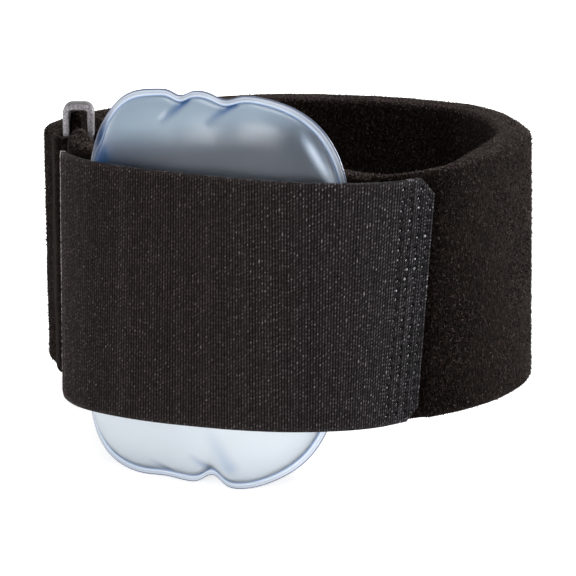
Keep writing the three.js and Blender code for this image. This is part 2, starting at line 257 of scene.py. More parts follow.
def hookTape(tree):
    # Hook side of a hook and loop closure: black nylon with rows of stiff hooks
    hookPitch, hookHeight = 1.1 * mm, 0.4 * mm
    place = addNode(tree, "TexCoord", "Object")
    hooks = addNode(tree, "TexVoronoi", "Distance", {
        "Vector": place, "Scale": 1 / hookPitch, "Randomness": 0.4})
    color = addNode(tree, "ValToRGB", "Color", {"Fac": hooks}, [(0.1, "#3a393c"), (0.5, "#131214")])
    bump = addNode(tree, "Bump", "Normal", {"Height": hooks, "Strength": 0.9, "Distance": hookHeight},
                   invert=True)
    return addNode(tree, "BsdfPrincipled", "BSDF", {
        "Base Color": color, "Roughness": 0.5, "IOR": 1.53, "Normal": bump})


def paleFloor(tree):
    # Matt white board with a little light of its own, so that shadows stay faint
    mottleWidth = 60 * mm
    place = addNode(tree, "TexCoord", "Object")
    mottle = addNode(tree, "TexNoise", "Fac", {"Vector": place, "Scale": 1 / mottleWidth, "Detail": 2.0})
    color = addNode(tree, "ValToRGB", "Color", {"Fac": mottle}, [(0.3, "#f6f6f6"), (0.7, "#f8f8f8")])
    return addNode(tree, "BsdfPrincipled", "BSDF", {
        "Base Color": color, "Roughness": 0.9, "Specular IOR Level": 0.1,
        "Emission Color": color, "Emission Strength": 0.68})


def makeMaterial(name, finish):
    material = bpy.data.materials.new(name)
    material.use_nodes = True
    tree = material.node_tree
    tree.nodes.clear()
    addNode(tree, "OutputMaterial", None, {"Surface": finish(tree)})
    return material


materials = {
    "foam": makeMaterial("loop pile foam", loopPileFoam),
    "pile": makeMaterial("brushed nylon loops", brushedLoops),
    "tape": makeMaterial("woven nylon tape", wovenTape),
    "fused": makeMaterial("fused nylon", fusedNylon),
    "film": makeMaterial("frosted PVC film", frostedVinyl),
    "nylon": makeMaterial("moulded nylon", mouldedNylon),
    "hooks": makeMaterial("nylon hook tape", hookTape),
    "floor": makeMaterial("matt white board", paleFloor),
}
print("materials made:", len(materials))


# Helpers for shapes

halfHeight = 25.0  # of the band and of the 50 mm tape
facing = 0.9  # a face looks along an axis if its normal has this share of it


def meshPiece(name, points, faces, material):
    faces = np.asarray(faces, dtype=np.int32)
    mesh = bpy.data.meshes.new(name)
    mesh.vertices.add(len(points))
    mesh.vertices.foreach_set("co", np.asarray(points, dtype=np.float32).ravel())
    mesh.loops.add(faces.size)
    mesh.loops.foreach_set("vertex_index", faces.ravel())
    mesh.polygons.add(len(faces))
    mesh.polygons.foreach_set("loop_start", np.arange(0, faces.size, faces.shape[1], dtype=np.int32))
    mesh.update(calc_edges=True)
    mesh.materials.append(material)
    piece = bpy.data.objects.new(name, mesh)
    bpy.context.scene.collection.objects.link(piece)
    return piece


def makeActive(piece):
    bpy.ops.object.select_all(action="DESELECT")
    piece.select_set(True)
    bpy.context.view_layer.objects.active = piece


def applyModifiers(piece):
    makeActive(piece)
    for modifier in list(piece.modifiers):
        bpy.ops.object.modifier_apply(modifier=modifier.name)


def smooth(piece, angle=None):
    makeActive(piece)
    if angle is None:
        bpy.ops.object.shade_smooth()
    else:
        bpy.ops.object.shade_smooth_by_angle(angle=math.radians(angle))


def selectWhere(piece, kind, wanted):
    # Edit mode, with only the faces or edges that are wanted
    bpy.ops.object.mode_set(mode="EDIT")
    bpy.ops.mesh.select_mode(type=kind)
    bpy.ops.mesh.select_all(action="DESELECT")
    bpy.ops.object.mode_set(mode="OBJECT")
    for part in piece.data.polygons if kind == "FACE" else piece.data.edges:
        part.select = wanted(part)
    bpy.ops.object.mode_set(mode="EDIT")


def turnOutwards():
    bpy.ops.mesh.select_all(action="SELECT")
    bpy.ops.mesh.normals_make_consistent(inside=False)
    bpy.ops.object.mode_set(mode="OBJECT")


def closeEnds(piece):
    makeActive(piece)
    bpy.ops.object.mode_set(mode="EDIT")
    bpy.ops.mesh.select_mode(type="EDGE")
    bpy.ops.mesh.select_all(action="DESELECT")
    bpy.ops.mesh.select_non_manifold(extend=False)
    bpy.ops.mesh.fill_holes(sides=0)
    turnOutwards()


def keepAbove(piece, level):
    # Flattened where it stands
    for vertex in piece.data.vertices:
        vertex.co.z = max(vertex.co.z, level)


def setPointValue(piece, name, values):
    attribute = piece.data.attributes.new(name, "FLOAT", "POINT")
    attribute.data.foreach_set("value", np.asarray(values, dtype=np.float32).ravel())


def tubeFaces(count, around):
    i, j = np.meshgrid(np.arange(count - 1), np.arange(around), indexing="ij")
    here, after = i * around + j, i * around + (j + 1) % around
    return np.stack([here, after, after + around, here + around], axis=-1).reshape(-1, 4)


def gridFaces(columns, rows):
    i, j = np.meshgrid(np.arange(columns - 1), np.arange(rows - 1), indexing="ij")
    here = i * rows + j
    return np.stack([here, here + rows, here + rows + 1, here + 1], axis=-1).reshape(-1, 4)


def smoothStep(value):
    value = np.clip(value, 0, 1)
    return value * value * (3 - 2 * value)


def makeRoute(rows, samples=24):
    # A round curve through the rows in plan, with the other columns carried along it
    rows = np.array(rows, dtype=float)
    held = np.vstack([2 * rows[0] - rows[1], rows, 2 * rows[-1] - rows[-2]])
    share = np.linspace(0, 1, samples, endpoint=False)[:, None]
    dense = []
    for p0, p1, p2, p3 in zip(held, held[1:], held[2:], held[3:]):
        d0, d1, d2 = [math.sqrt(np.hypot(*(b - a)[:2])) for a, b in ((p0, p1), (p1, p2), (p2, p3))]
        leave = ((p1 - p0) / d0 - (p2 - p0) / (d0 + d1) + (p2 - p1) / d1) * d1
        arrive = ((p2 - p1) / d1 - (p3 - p1) / (d1 + d2) + (p3 - p2) / d2) * d1
        leave[2:] = (p2 - p0)[2:] / 2
        arrive[2:] = (p3 - p1)[2:] / 2
        square, cube = share ** 2, share ** 3
        dense.append(p1 * (2 * cube - 3 * square + 1) + leave * (cube - 2 * square + share)
                     + p2 * (3 * square - 2 * cube) + arrive * (cube - square))
    dense = np.vstack(dense + [rows[-1:]])
    step = np.hypot(*np.diff(dense[:, :2], axis=0).T)
    run = np.concatenate([[0], np.cumsum(step)])
    ahead = np.gradient(dense[:, :2], run, axis=0)
    ahead /= np.linalg.norm(ahead, axis=1, keepdims=True)
    return {"run": run, "dense": dense, "ahead": ahead, "knots": run[::samples], "length": run[-1]}


def wallPoints(route, run, out, up, columns):
    # Places on an upright wall: out from its route and up it, with the lean, skew and drop of that stretch
    values = [np.interp(run, route["run"], column) for column in route["dense"].T]
    aheadX, aheadY = [np.interp(run, route["run"], column) for column in route["ahead"].T]
    at = dict(zip(("x", "y") + columns, values))
    rise = up / halfHeight
    aside = out + at.get("lean", 0) * rise
    skew = at.get("skew", 0) * rise
    return np.stack([at["x"] + aheadY * aside + aheadX * skew,
                     at["y"] - aheadX * aside + aheadY * skew,
                     up - at.get("drop", 0) + 0 * run], axis=-1)


def ridesRoot(piece, replaced=None):
    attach(piece, "root")
    if replaced:
        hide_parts(replaced)


# Foam band, from the hem round the ring's inner leg to the free end on the left

band = {
    "step": 0.7, "faceRows": 25, "cornerRows": 5, "edgeRows": 4, "turnRows": 5,
    "edgeRadius": 1.6, "largestRound": 0.45, "hem": 0.9, "inSlot": 1.7, "gap": 0.3,
    "slotRise": 4.7, "slotReach": 6.5, "turnReach": 3.2, "hemRise": 2.2, "hemReach": 4.0,
    "growOver": 4.0, "growTop": 0.95, "growTopOver": 20.0, "growBottom": 0.85, "sag": 0.6, "sagReach": 6.0,
    "waver": 0.35, "waverSize": 9.0, "restLift": 0.05, "fill": 0.8,
}


def turnRows(legX, turnY, thick, start, end):
    reach = ring["bar"] / 2 + band["gap"] + thick / 2
    angles = np.radians(np.linspace(start, end, band["turnRows"]))
    return [(legX + reach * math.cos(a), turnY + reach * math.sin(a), thick, 0) for a in angles]


legOffset = (ring["width"] - ring["bar"]) / 2
turnDepth = ring["depth"] / 2 - ring["mouldBevel"]
bandColumns = ("thick", "lean")
bandStretches = {  # rows of x, y, thickness and lean
    "hem": [(-30.5, -13.9, band["hem"], 0), (-35.7, -11.3, band["hem"], 0), (-37.9, -8.3, band["hem"], 0),
            (-38.5, -3.5, band["hem"], 0)]
           + turnRows(ring["x"] + legOffset, ring["y"] + turnDepth, band["hem"], 0, 180),
    "inner": [(-41.5, -2.4, band["hem"], 0), (-41.9, -6.4, 3.4, 0), (-41.2, -10.6, 5.6, 0),
              (-37.3, -14.3, 5.3, 0), (-31.0, -17.6, 5.5, 0), (-20.0, -22.1, 5.5, 0), (-8.0, -26.7, 5.5, 0.3),
              (4.0, -30.7, 5.5, 1.0), (11.5, -33.2, 5.6, 1.7), (15.8, -35.4, 4.6, 2.1)],
    "pinch": [(19.1, -35.4, 1.7, 2.2), (21.5, -34.2, 1.2, 2.3), (23.7, -32.7, 1.2, 2.3)],
    "round": [(26.2, -31.0, 1.3, 2.2), (28.9, -29.9, 3.2, 1.5), (34.4, -25.3, 4.8, 0.5),
              (41.4, -14.9, 6.9, -0.3), (45.9, -3.0, 7.5, -0.45), (44.2, 10.2, 7.5, -0.45),
              (37.8, 25.3, 7.5, -0.3), (26.7, 33.6, 7.5, 0), (10.8, 38.0, 7.4, 0), (-5.0, 38.5, 7.2, 0),
              (-18.0, 33.8, 6.8, 0)],
    "left": [(-27.9, 23.7, 6.3, 0), (-36.4, 14.6, 6.0, 0), (-41.3, 8.4, 4.2, 0), (-43.2, 3.8, 2.9, 0)],
    "turn": turnRows(ring["x"] - legOffset, ring["y"] - turnDepth, band["inSlot"], 0, -180),
    "free": [(-47.1, 2.8, 2.5, 0), (-47.8, 8.2, 4.8, -0.1), (-45.8, 13.6, 5.0, -0.1), (-41.4, 20.2, 5.0, 0),
             (-36.2, 25.9, 4.6, 0), (-31.6, 29.9, 4.2, 0)],
}
stretchStarts = dict(zip(bandStretches, np.cumsum([0] + [len(rows) for rows in bandStretches.values()])))
bandMarks = {  # stretch, and row from its start
    "slot": ("turn", -1), "hem": ("inner", 1), "pinched": ("pinch", 0), "joined": ("round", 0),
    "widest": ("round", 5), "narrowed": ("round", 7),
}


def bandSection(thick):
    # Round the wall's section: outer face going up, top edge, inner face going down, bottom edge
    radius = np.minimum(band["edgeRadius"], thick * band["largestRound"])[:, None]
    half = thick[:, None] / 2
    flat = np.linspace(-1, 1, band["faceRows"])[None, 1:-1]
    turn = np.linspace(0, np.pi / 2, band["cornerRows"])[None]
    across = np.linspace(1, -1, band["edgeRows"])[None, 1:-1]
    reach = halfHeight - radius
    out, up = [], []
    for side in (1, -1):
        out += [side * half + 0 * flat, side * (half - radius + radius * np.cos(turn)),
                side * (half - radius) * across, -side * (half - radius + radius * np.sin(turn))]
        up += [side * reach * flat, side * (reach + radius * np.sin(turn)),
               side * halfHeight + 0 * across * half, side * (reach + radius * np.cos(turn))]
    return np.hstack(out), np.hstack(up)


def makeBand():
    route = makeRoute([row for rows in bandStretches.values() for row in rows])
    stations = np.linspace(0, route["length"], int(route["length"] / band["step"]) + 1)
    out, up = bandSection(np.interp(stations, route["run"], route["dense"][:, 2]))
    run = np.repeat(stations[:, None], out.shape[1], axis=1)
    mark = {name: route["knots"][stretchStarts[stretch] + row] for name, (stretch, row) in bandMarks.items()}

    def near(name, reach):
        return np.exp(-((run - mark[name]) / reach) ** 2)

    reach = np.where(run < mark["slot"], band["slotReach"], band["turnReach"])
    rise = band["slotRise"] * near("slot", reach)  # squeezed foam rises in the slot
    rise = rise + band["hemRise"] * near("hem", band["hemReach"])
    grow = smoothStep((run - mark["pinched"]) / band["growOver"])  # and spreads at the right, past the pinch
    grow = grow * smoothStep((mark["narrowed"] - run) / (mark["narrowed"] - mark["widest"]))
    rise = rise + band["growTop"] * grow * smoothStep((run - mark["joined"]) / band["growTopOver"])
    fall = band["growBottom"] * grow + band["sag"] * near("joined", band["sagReach"])
    spread = rise * smoothStep(up / halfHeight) - fall * smoothStep(-up / halfHeight)
    places = toPart(wallPoints(route, run, out, up + spread, bandColumns).reshape(-1, 3))
    piece = meshPiece("foam_band_pile", places, tubeFaces(*run.shape), materials["foam"])
    closeEnds(piece)
    return piece, route, {"run": run, "out": out, "up": up, "grid": places.reshape(*run.shape, 3)}


bandPiece, bandRoute, bandWall = makeBand()
clouds = bpy.data.textures.new("soft waver", "CLOUDS")
clouds.noise_scale = band["waverSize"] * mm
waver = bandPiece.modifiers.new("soft waver", "DISPLACE")
waver.texture = clouds
waver.strength = band["waver"] * mm
waver.mid_level = 0.5
applyModifiers(bandPiece)
keepAbove(bandPiece, band["restLift"] * mm)
smooth(bandPiece)
ridesRoot(bandPiece, "foam_band")
print("foam band:", len(bandPiece.data.polygons), "faces")


# Raised loops of the pile, on the band's faces that show

pile = {
    "count": 48000, "length": 0.62, "spread": 0.3, "shortest": 0.3, "edgeLength": 0.6, "edgeShare": 0.6,
    "radius": 0.095, "feet": (0, 2.094, 4.189),  # a third of a turn apart
    "rise": 0.3, "leastRise": 0.12, "stray": 0.65, "comb": 0.6, "sink": 0.05, "seed": 7,
}
pileFaces = {  # which sides of each stretch carry it: out, in and the cut edges
    "inner": (0, 1, 1), "pinch": (0, 1, 1), "round": (1, 1, 1), "left": (0, 1, 1), "free": (0, 1, 1),
}
tuftFaces = np.array([[0, 1, 3], [1, 2, 3], [2, 0, 3], [2, 1, 0]])  # three feet and a tip


def unit(vectors):
    return vectors / np.linalg.norm(vectors, axis=1, keepdims=True)


def makePile(name, outward, seed):
    run, out, up, corner = (bandWall[key][:-1] for key in ("run", "out", "up", "grid"))
    ahead = bandWall["grid"][1:] - corner
    aside = np.roll(corner, -1, axis=1) - corner
    cross = np.cross(ahead, aside)
    area = np.linalg.norm(cross, axis=2)
    knots = bandRoute["knots"]
    allowed = np.zeros_like(area)
    onEdge = np.abs(up) > halfHeight - band["edgeRadius"] * pile["edgeShare"]
    outer = out > 0
    for stretch, (onOuter, onInner, onCut) in pileFaces.items():
        first = stretchStarts[stretch]
        last = min(first + len(bandStretches[stretch]), len(knots) - 1)
        within = (run >= knots[first]) & (run < knots[last])
        allowed = np.where(within, np.where(onEdge, onCut, np.where(outer, onOuter, onInner)), allowed)
    weight = (area * allowed * (outer == outward)).ravel()
    draw = np.random.default_rng(seed)
    count = pile["count"]
    i, j = np.unravel_index(draw.choice(weight.size, size=count, p=weight / weight.sum()), area.shape)
    share = draw.random((count, 2))
    base = corner[i, j] + ahead[i, j] * share[:, :1] + aside[i, j] * share[:, 1:]
    normal = cross[i, j] / area[i, j][:, None]
    varied = 1 + pile["spread"] * draw.standard_normal((count, 1))
    length = pile["length"] * np.maximum(varied, pile["shortest"])
    length = length * mm * np.where(onEdge[i, j], pile["edgeLength"], 1)[:, None]
    comb = np.array(armAxis) * pile["comb"] * draw.standard_normal((count, 1))
    lean = unit(normal * pile["rise"] + pile["stray"] * draw.standard_normal((count, 3)) + comb)
    lift = np.einsum("ij,ij->i", lean, normal)[:, None]
    lean = lean + normal * np.maximum(pile["leastRise"] - lift, 0)  # none grows into the wall
    flat = unit(np.cross(lean, draw.standard_normal((count, 3))))
    other = np.cross(lean, flat)
    radius = pile["radius"] * mm
    root = base - normal * pile["sink"] * mm
    feet = [root + radius * (math.cos(a) * flat + math.sin(a) * other) for a in pile["feet"]]
    corners = feet + [root + lean * length]
    points = np.stack(corners, axis=1).reshape(-1, 3)
    points[:, 2] = np.maximum(points[:, 2], band["restLift"] * mm)
    faces = (np.arange(count)[:, None, None] * len(corners) + tuftFaces[None]).reshape(-1, 3)
    piece = meshPiece(name, points, faces, materials["pile"])
    # paler tufts on the top cut edges only: partly their own tone, partly painted light from above
    setPointValue(piece, "cutEdgeLitTop", np.repeat(onEdge[i, j] & (up[i, j] > 0), len(corners)))
    ridesRoot(piece)
    print(name, len(faces), "faces")


makePile("outer_pile", True, pile["seed"])
makePile("inner_pile", False, pile["seed"] + 1)


# Woven strap across the front, with ribs and knots in its outer face

strap = {
    "columns": 303, "rows": 135, "thickness": 1.0, "topCorner": 3.4, "bottomCorner": 2.6, "smoothAngle": 50,
    "rib": 0.11, "ribSpread": 0.03, "gap": -0.06, "pick": 1.42, "pickRelief": 0.06, "slowShare": 0.4,
    "twill": 1 / 3, "twillTo": 36.0, "knot": 0.1, "knots": 0.012, "knotsAtStart": 0.4, "knotsGain": 1.2,
    "jitter": 0.025, "selvage": 0.8, "selvageRelief": 0.15, "pressFrom": 11.0, "pressOver": 3.0,
    "yarnTones": (0.55, 1.35), "ribTone": 0.28, "overTone": 0.62, "gapTone": 0.05, "knotTone": 1.1,
    "edgeLine": 0.8, "endHighlight": 1.6, "seed": 11,
}
strapColumns = ("lean", "skew", "drop")
strapRows = [  # x, y, lean, skew and drop of the outer face
    (-45.3, -16.6, -0.2, 0, 0), (-44.2, -20.4, -0.6, 0, 0), (-40.6, -25.8, -1.2, 0, 0),
    (-34.4, -30.8, -1.2, 0, 0), (-26.5, -35.1, -1.1, 0, 0), (-18.0, -38.7, -0.6, 0, 0),
    (-9.0, -41.8, 0, 0, 0), (0, -43.4, 0.8, 0, 0.1), (8.0, -43.2, 1.6, 0.1, 0.3),
    (14.0, -41.5, 2.0, 0.1, 0.6), (19.0, -38.8, 2.2, 0.2, 0.9), (23.0, -36.0, 2.3, 0.2, 1.0),
    (26.95, -33.2, 2.3, 0.2, 1.0),
]
strapRoute = makeRoute(strapRows)
spots = {
    "columns": 4, "rows": 24, "fromEnd": 1.5, "pitchAlong": 2.1, "pitchUp": 2.0, "jitter": 0.14,
    "edgeClear": 0.8, "sides": 10, "radius": 0.3, "height": 0.3, "sink": 0.24,
    "steps": ((0.09, 0.12), (0.09, 0.06)),  # inset and lift of each step of a bead's dome
    "stand": 0.08, "scales": (0.75, 1.2), "deepest": 0.14, "lowTone": 0.2, "smoothAngle": 60,
    "dent": 0.4, "dentRadius": 0.58, "pitShift": 0.28, "seed": 5,
}


def strapEdges(run):
    toEnd = strapRoute["length"] - run
    top = halfHeight - np.maximum(0, strap["topCorner"] - toEnd)
    bottom = -halfHeight + np.maximum(0, strap["bottomCorner"] - toEnd)
    return top, bottom


def placeSpots():
    # Run, height, scale, depth and tone of each fused spot in the grid at the strap's joined end, the tone a
    # random one with painted light, paler towards the top
    draw = np.random.default_rng(spots["seed"])
    placed = []
    for column in range(spots["columns"]):
        for row in range(spots["rows"]):
            shift = draw.normal(0, spots["jitter"], 2)
            run = strapRoute["length"] - spots["fromEnd"] - column * spots["pitchAlong"] + shift[0]
            up = (row - (spots["rows"] - 1) / 2) * spots["pitchUp"] + shift[1]
            top, bottom = strapEdges(np.array(run))
            if bottom + spots["edgeClear"] < up < top - spots["edgeClear"]:
                # painted light: beads paler towards the top, darker low down
                lightFromAbove = spots["lowTone"] + (1 - spots["lowTone"]) * (up + halfHeight) / (2 * halfHeight)
                scale = draw.uniform(*spots["scales"])
                depth = draw.uniform(0, spots["deepest"])
                placed.append((run, up, scale, depth, lightFromAbove * draw.random()))
    return placed


spotPlaces = placeSpots()


def makeStrap():
    columns, rows = strap["columns"], strap["rows"]
    run = np.repeat(np.linspace(0, strapRoute["length"], columns)[:, None], rows, axis=1)
    top, bottom = strapEdges(run)
    up = bottom + (top - bottom) * np.linspace(0, 1, rows)[None]
    column = np.arange(columns)[:, None] + np.zeros((1, rows), dtype=int)
    draw = np.random.default_rng(strap["seed"])
    onRib = column % 2 == 1
    phase = np.where(run < strap["twillTo"], column // 2 * strap["twill"], draw.random((columns, 1)))
    slow = 0.5 + 0.5 * np.cos(2 * np.pi * (up / strap["pick"] + phase))
    quick = (np.arange(rows)[None] + draw.integers(0, 2, (columns, 1))) % 2
    over = strap["slowShare"] * slow + (1 - strap["slowShare"]) * quick  # where a rib goes over the weft
    pressed = smoothStep((run - strapRoute["length"] + strap["pressFrom"]) / strap["pressOver"])
    over = over + (quick - over) * pressed  # a finer check in the joined end
    often = strap["knots"] * (strap["knotsAtStart"] + strap["knotsGain"] * run / strapRoute["length"])
    onKnot = onRib & (draw.random((columns, rows)) < often)
    rib = strap["rib"] + strap["ribSpread"] * draw.standard_normal((columns, 1))
    relief = np.where(onRib, rib + strap["pickRelief"] * over, strap["gap"])
    relief = relief + np.where(onKnot, strap["knot"], 0)
    relief = relief + strap["jitter"] * draw.standard_normal((columns, rows))
    yarn = draw.uniform(*strap["yarnTones"], (columns, rows))
    # painted shade and light of the weave: dark in the gaps between ribs, paler where a rib rides over the
    # weft, with each yarn's own random tone
    weaveLightAndTone = np.where(onRib, (strap["ribTone"] + strap["overTone"] * over) * yarn, strap["gapTone"] * yarn)
    # painted highlights on the knots
    weaveLightAndTone = np.where(onKnot, strap["knotTone"], weaveLightAndTone)
    weaveLightAndTone = np.where(run < strap["edgeLine"], strap["endHighlight"], weaveLightAndTone)  # a painted highlight along its left cut end
    for spotRun, spotUp, scale, _, _ in spotPlaces:
        beyond, above = run - spotRun - spots["pitShift"], up - spotUp - spots["pitShift"]
        press = np.exp(-(np.hypot(beyond, above) / (spots["dentRadius"] * scale)) ** 2)
        relief = relief - spots["dent"] * press
        # painted shade in each spot's dent
        weaveLightAndTone = weaveLightAndTone * (1 - press)
    fromEdge = np.minimum(top - up, up - bottom) / strap["selvage"]
    relief *= np.clip(fromEdge, strap["selvageRelief"], 1)
    points = toPart(wallPoints(strapRoute, run, relief, up, strapColumns).reshape(-1, 3))
    piece = meshPiece("front_strap_weave", points, gridFaces(columns, rows), materials["tape"])
    setPointValue(piece, "weaveLightAndTone", weaveLightAndTone)
    uvLayer = piece.data.uv_layers.new(name="tapeMillimetres")
    flat = np.stack([run.ravel(), up.ravel() + halfHeight], axis=1).astype(np.float32)
    corners = np.zeros(len(piece.data.loops), dtype=np.int32)
    piece.data.loops.foreach_get("vertex_index", corners)
    uvLayer.data.foreach_set("uv", flat[corners].ravel())
    return piece


strapPiece = makeStrap()
wall = strapPiece.modifiers.new("tape thickness", "SOLIDIFY")
wall.thickness = strap["thickness"] * mm
wall.offset = -1
applyModifiers(strapPiece)
smooth(strapPiece, strap["smoothAngle"])
ridesRoot(strapPiece, "front_strap")
print("front strap:", len(strapPiece.data.polygons), "faces, length", round(strapRoute["length"], 1), "mm")


# Fused spots that join the strap's end to the band

def makeSpots():
    bpy.ops.object.select_all(action="DESELECT")
    bpy.ops.mesh.primitive_cylinder_add(
        vertices=spots["sides"], radius=spots["radius"], depth=spots["height"],
        location=(0, 0, -spots["height"] / 2 - spots["sink"]))
    bead = bpy.context.object
    bpy.ops.object.transform_apply(location=True)
    selectWhere(bead, "FACE", lambda face: face.normal.z > facing)
    for thickness, lift in spots["steps"]:
        bpy.ops.mesh.inset(thickness=thickness)
        bpy.ops.transform.translate(value=(0, 0, lift))
    bpy.ops.mesh.poke()
    bpy.ops.mesh.select_all(action="SELECT")
    bpy.ops.mesh.quads_convert_to_tris()
    bpy.ops.object.mode_set(mode="OBJECT")
    shape = np.array([v.co for v in bead.data.vertices])
    faces = np.array([face.vertices[:] for face in bead.data.polygons])
    bpy.data.objects.remove(bead)
    points, allFaces = [], []
    for run, up, scale, depth, _ in spotPlaces:
        allFaces.append(faces + len(points) * len(shape))
        points.append(wallPoints(strapRoute, run + scale * shape[:, 0], shape[:, 2] + spots["stand"] - depth,
                                 up + scale * shape[:, 1], strapColumns))
    piece = meshPiece("joining_spots", toPart(np.vstack(points)), np.vstack(allFaces), materials["fused"])
    setPointValue(piece, "beadToneAndLight", np.repeat([spot[-1] for spot in spotPlaces], len(shape)))
    smooth(piece, spots["smoothAngle"])
    ridesRoot(piece)
    print("joining spots:", len(points))


makeSpots()


# Air cell: a pillow of film closed by a welded rim

cell = {
    "halfWidth": 29.0, "halfHeight": 39.3, "power": 3.4, "middle": 31.0, "level": 0.8, "shear": 0.05,
    "frontSwell": 4.4, "backSwell": 4.7, "fullness": 2.6, "roundness": 0.55,
    "rimWidth": 1.42, "leastRim": 0.03, "columns": 420, "frontRings": 44, "backRings": 22, "firstRing": 0.02,
    "ringPower": 0.9, "lobe": 0.16, "lobeFrom": 23.0, "lobeOver": 9.0, "puckerFade": 6,
    "creaseFade": 0.75, "creaseLip": 0.55, "creaseFloor": -0.2,
    "slitAngle": 2.31, "slitSpan": 0.08, "slitWiden": 0.42, "slitRim": (0.2, 1.0), "slitShade": 1.0,
    "restLift": 0.02, "fill": 0.75,
    # Looks of the film, at places across and up from its middle
    "hazeFrom": 28.6, "hazeOver": 7.5, "hazeSlope": 0.19, "leastHaze": 0.042, "mostHaze": 0.6,
    "tintFrom": 18.5, "tintOver": 7.0, "tintUp": 19.0, "tint": 1.0, "tintHaze": 0.6, "foamShade": 0.16,
    "foldTint": 1.5, "rimTint": 0.14, "rimTintFrom": 0.84,
    "dimFrom": 4.0, "dimOver": 20.0, "dimTint": 0.48, "dimClear": 0.75,
    "flank": (18.2, 35.0, 24.1, 25.5), "flankWidth": 0.95, "flankRise": 2, "flankPast": 1.2, "flankHaze": 1.0,
    "leastGloss": 0.35, "glossHaze": 0.3,
}
cellRows = [  # x, y and lean of the cell's middle sheet
    (-40.6, -15.0, 0), (-38.9, -19.3, -0.3), (-34.0, -24.0, -0.9), (-26.0, -28.6, -0.9), (-14.0, -33.4, -0.4),
    (0, -37.6, 0.8), (10.5, -39.2, 1.7), (15.0, -39.2, 1.9),
]
cellRoute = makeRoute(cellRows)
puckers = [  # edge, place along it, depth and width
    (1, -20.0, -1.0, 6.0), (1, -7.0, 1.2, 2.1), (1, 2.6, 1.3, 3.0),
    (-1, 3.8, 2.2, 2.3), (-1, -6.0, 0.6, 4.0), (-1, 10.0, -1.0, 6.5),
]
creases = [  # across and up at its start and end, depth and width
    (-5.2, 38.2, -9.4, 34.2, 0.75, 0.9), (4.9, 38.2, 0.4, 35.0, 0.75, 0.9),
    (0.3, -32.6, 4.6, -36.2, 0.6, 0.9), (3.7, -26.7, 7.7, -34.3, 0.32, 1.9),
    (-8.3, -34.5, -4.7, -36.6, 0.45, 0.8),
]
rimProfile = [  # distance in from the outer edge, half thickness and haze
    (1.36, 0.24, 0.2), (1.18, 0.40, 0.5), (0.94, 0.42, 0.5), (0.65, 0.33, 0.15), (0.35, 0.31, 0.4),
    (0.12, 0.28, 0.3), (0.0, 0.15, 0.1),
]
cellAngles = np.linspace(0, 2 * np.pi, cell["columns"], endpoint=False)
slitShare = np.exp(-((cellAngles - cell["slitAngle"]) / cell["slitSpan"]) ** 2)  # a short slit in the weld


def cellPlace(inset, scale):
    # Across and up from the cell's middle, all round it, at an inset from its edge and a share of the way out
    c, s = np.cos(cellAngles), np.sin(cellAngles)
    inset = inset * (1 + cell["slitWiden"] * slitShare)
    side = np.abs(c / (cell["halfWidth"] - inset)) ** cell["power"]
    end = np.abs(s / (cell["halfHeight"] - inset)) ** cell["power"]
    reach = scale * (side + end) ** (-1 / cell["power"])
    across, up = reach * c, reach * s
    for edge, place, depth, width in puckers:
        pull = depth * np.exp(-(((across - place) / width) ** 2)) * scale ** cell["puckerFade"]
        up = np.where(s * edge > 0, up - edge * pull, up)
    return across, up + cell["level"]


def cellPoints(across, up, out):
    run = cell["middle"] + across + cell["shear"] * up
    return wallPoints(cellRoute, run, out + 0 * across, up, ("lean",))


def creaseDepth(across, up):
    total = 0 * across
    for x0, z0, x1, z1, depth, width in creases:
        lineX, lineZ = x1 - x0, z1 - z0
        share = np.clip(((across - x0) * lineX + (up - z0) * lineZ) / (lineX ** 2 + lineZ ** 2), 0, 1)
        apart = np.hypot(across - x0 - share * lineX, up - z0 - share * lineZ) / width
        fade = 1 - cell["creaseFade"] * (share if abs(z0) > abs(z1) else 1 - share)  # deepest at the edge
        total = total + depth * fade * (1 - cell["creaseLip"] * apart ** 2) * np.exp(-apart ** 2)
    return total


def filmLooks(across, up, scale, side):
    # What the film shows at these places: its blue with painted shade, its milk, the milk's own tint, which
    # the painted highlight on the right flank leaves out, and its gloss
    milky = smoothStep((up - cell["hazeFrom"] - cell["hazeSlope"] * across) / cell["hazeOver"])
    overFoam = (1 - milky) * smoothStep((up - cell["tintUp"]) / cell["tintOver"])
    blue = smoothStep((-across - cell["tintFrom"]) / cell["tintOver"]) * overFoam  # at its left side
    paintedLeftShade = smoothStep((-across - cell["dimFrom"]) / cell["dimOver"]) * overFoam  # painted shade: darker, clearer and less glossy low at the left, where the foam behind it is in shade
    # the film's own deeper blue in its folds and at its left side, with painted shade in its creases
    blueAndShade = cell["foldTint"] * creaseDepth(across, up) + cell["tint"] * blue
    # painted shade: darker blue over the foam just above the strap
    blueAndShade = blueAndShade + cell["foamShade"] * overFoam + cell["dimTint"] * paintedLeftShade
    blueAndShade = blueAndShade + cell["rimTint"] * smoothStep((scale - cell["rimTintFrom"]) / (1 - cell["rimTintFrom"]))
    x0, z0, x1, z1 = cell["flank"]  # a painted highlight: a white streak down its right flank
    drop = np.clip((z0 - up) / (z0 - z1), 0, cell["flankPast"])
    apart = (across - x0 - (x1 - x0) * drop) / cell["flankWidth"]
    white = np.exp(-apart ** 2) * smoothStep(cell["flankRise"] * drop) * (up > 0) * (side > 0)
    haze = cell["leastHaze"] + (cell["mostHaze"] - cell["leastHaze"]) * milky + cell["flankHaze"] * white
    gloss = cell["leastGloss"] + (1 - cell["leastGloss"]) * np.clip(haze / cell["glossHaze"], 0, 1)
    return {
        "rimBand": 0 * across, "blueTintAndShade": np.clip(blueAndShade, 0, 1) * (side > 0),
        "haze": haze * (1 - cell["dimClear"] * paintedLeftShade) + cell["tintHaze"] * blue,
        "milkTint": 1 - white, "gloss": gloss * (1 - paintedLeftShade),
    }


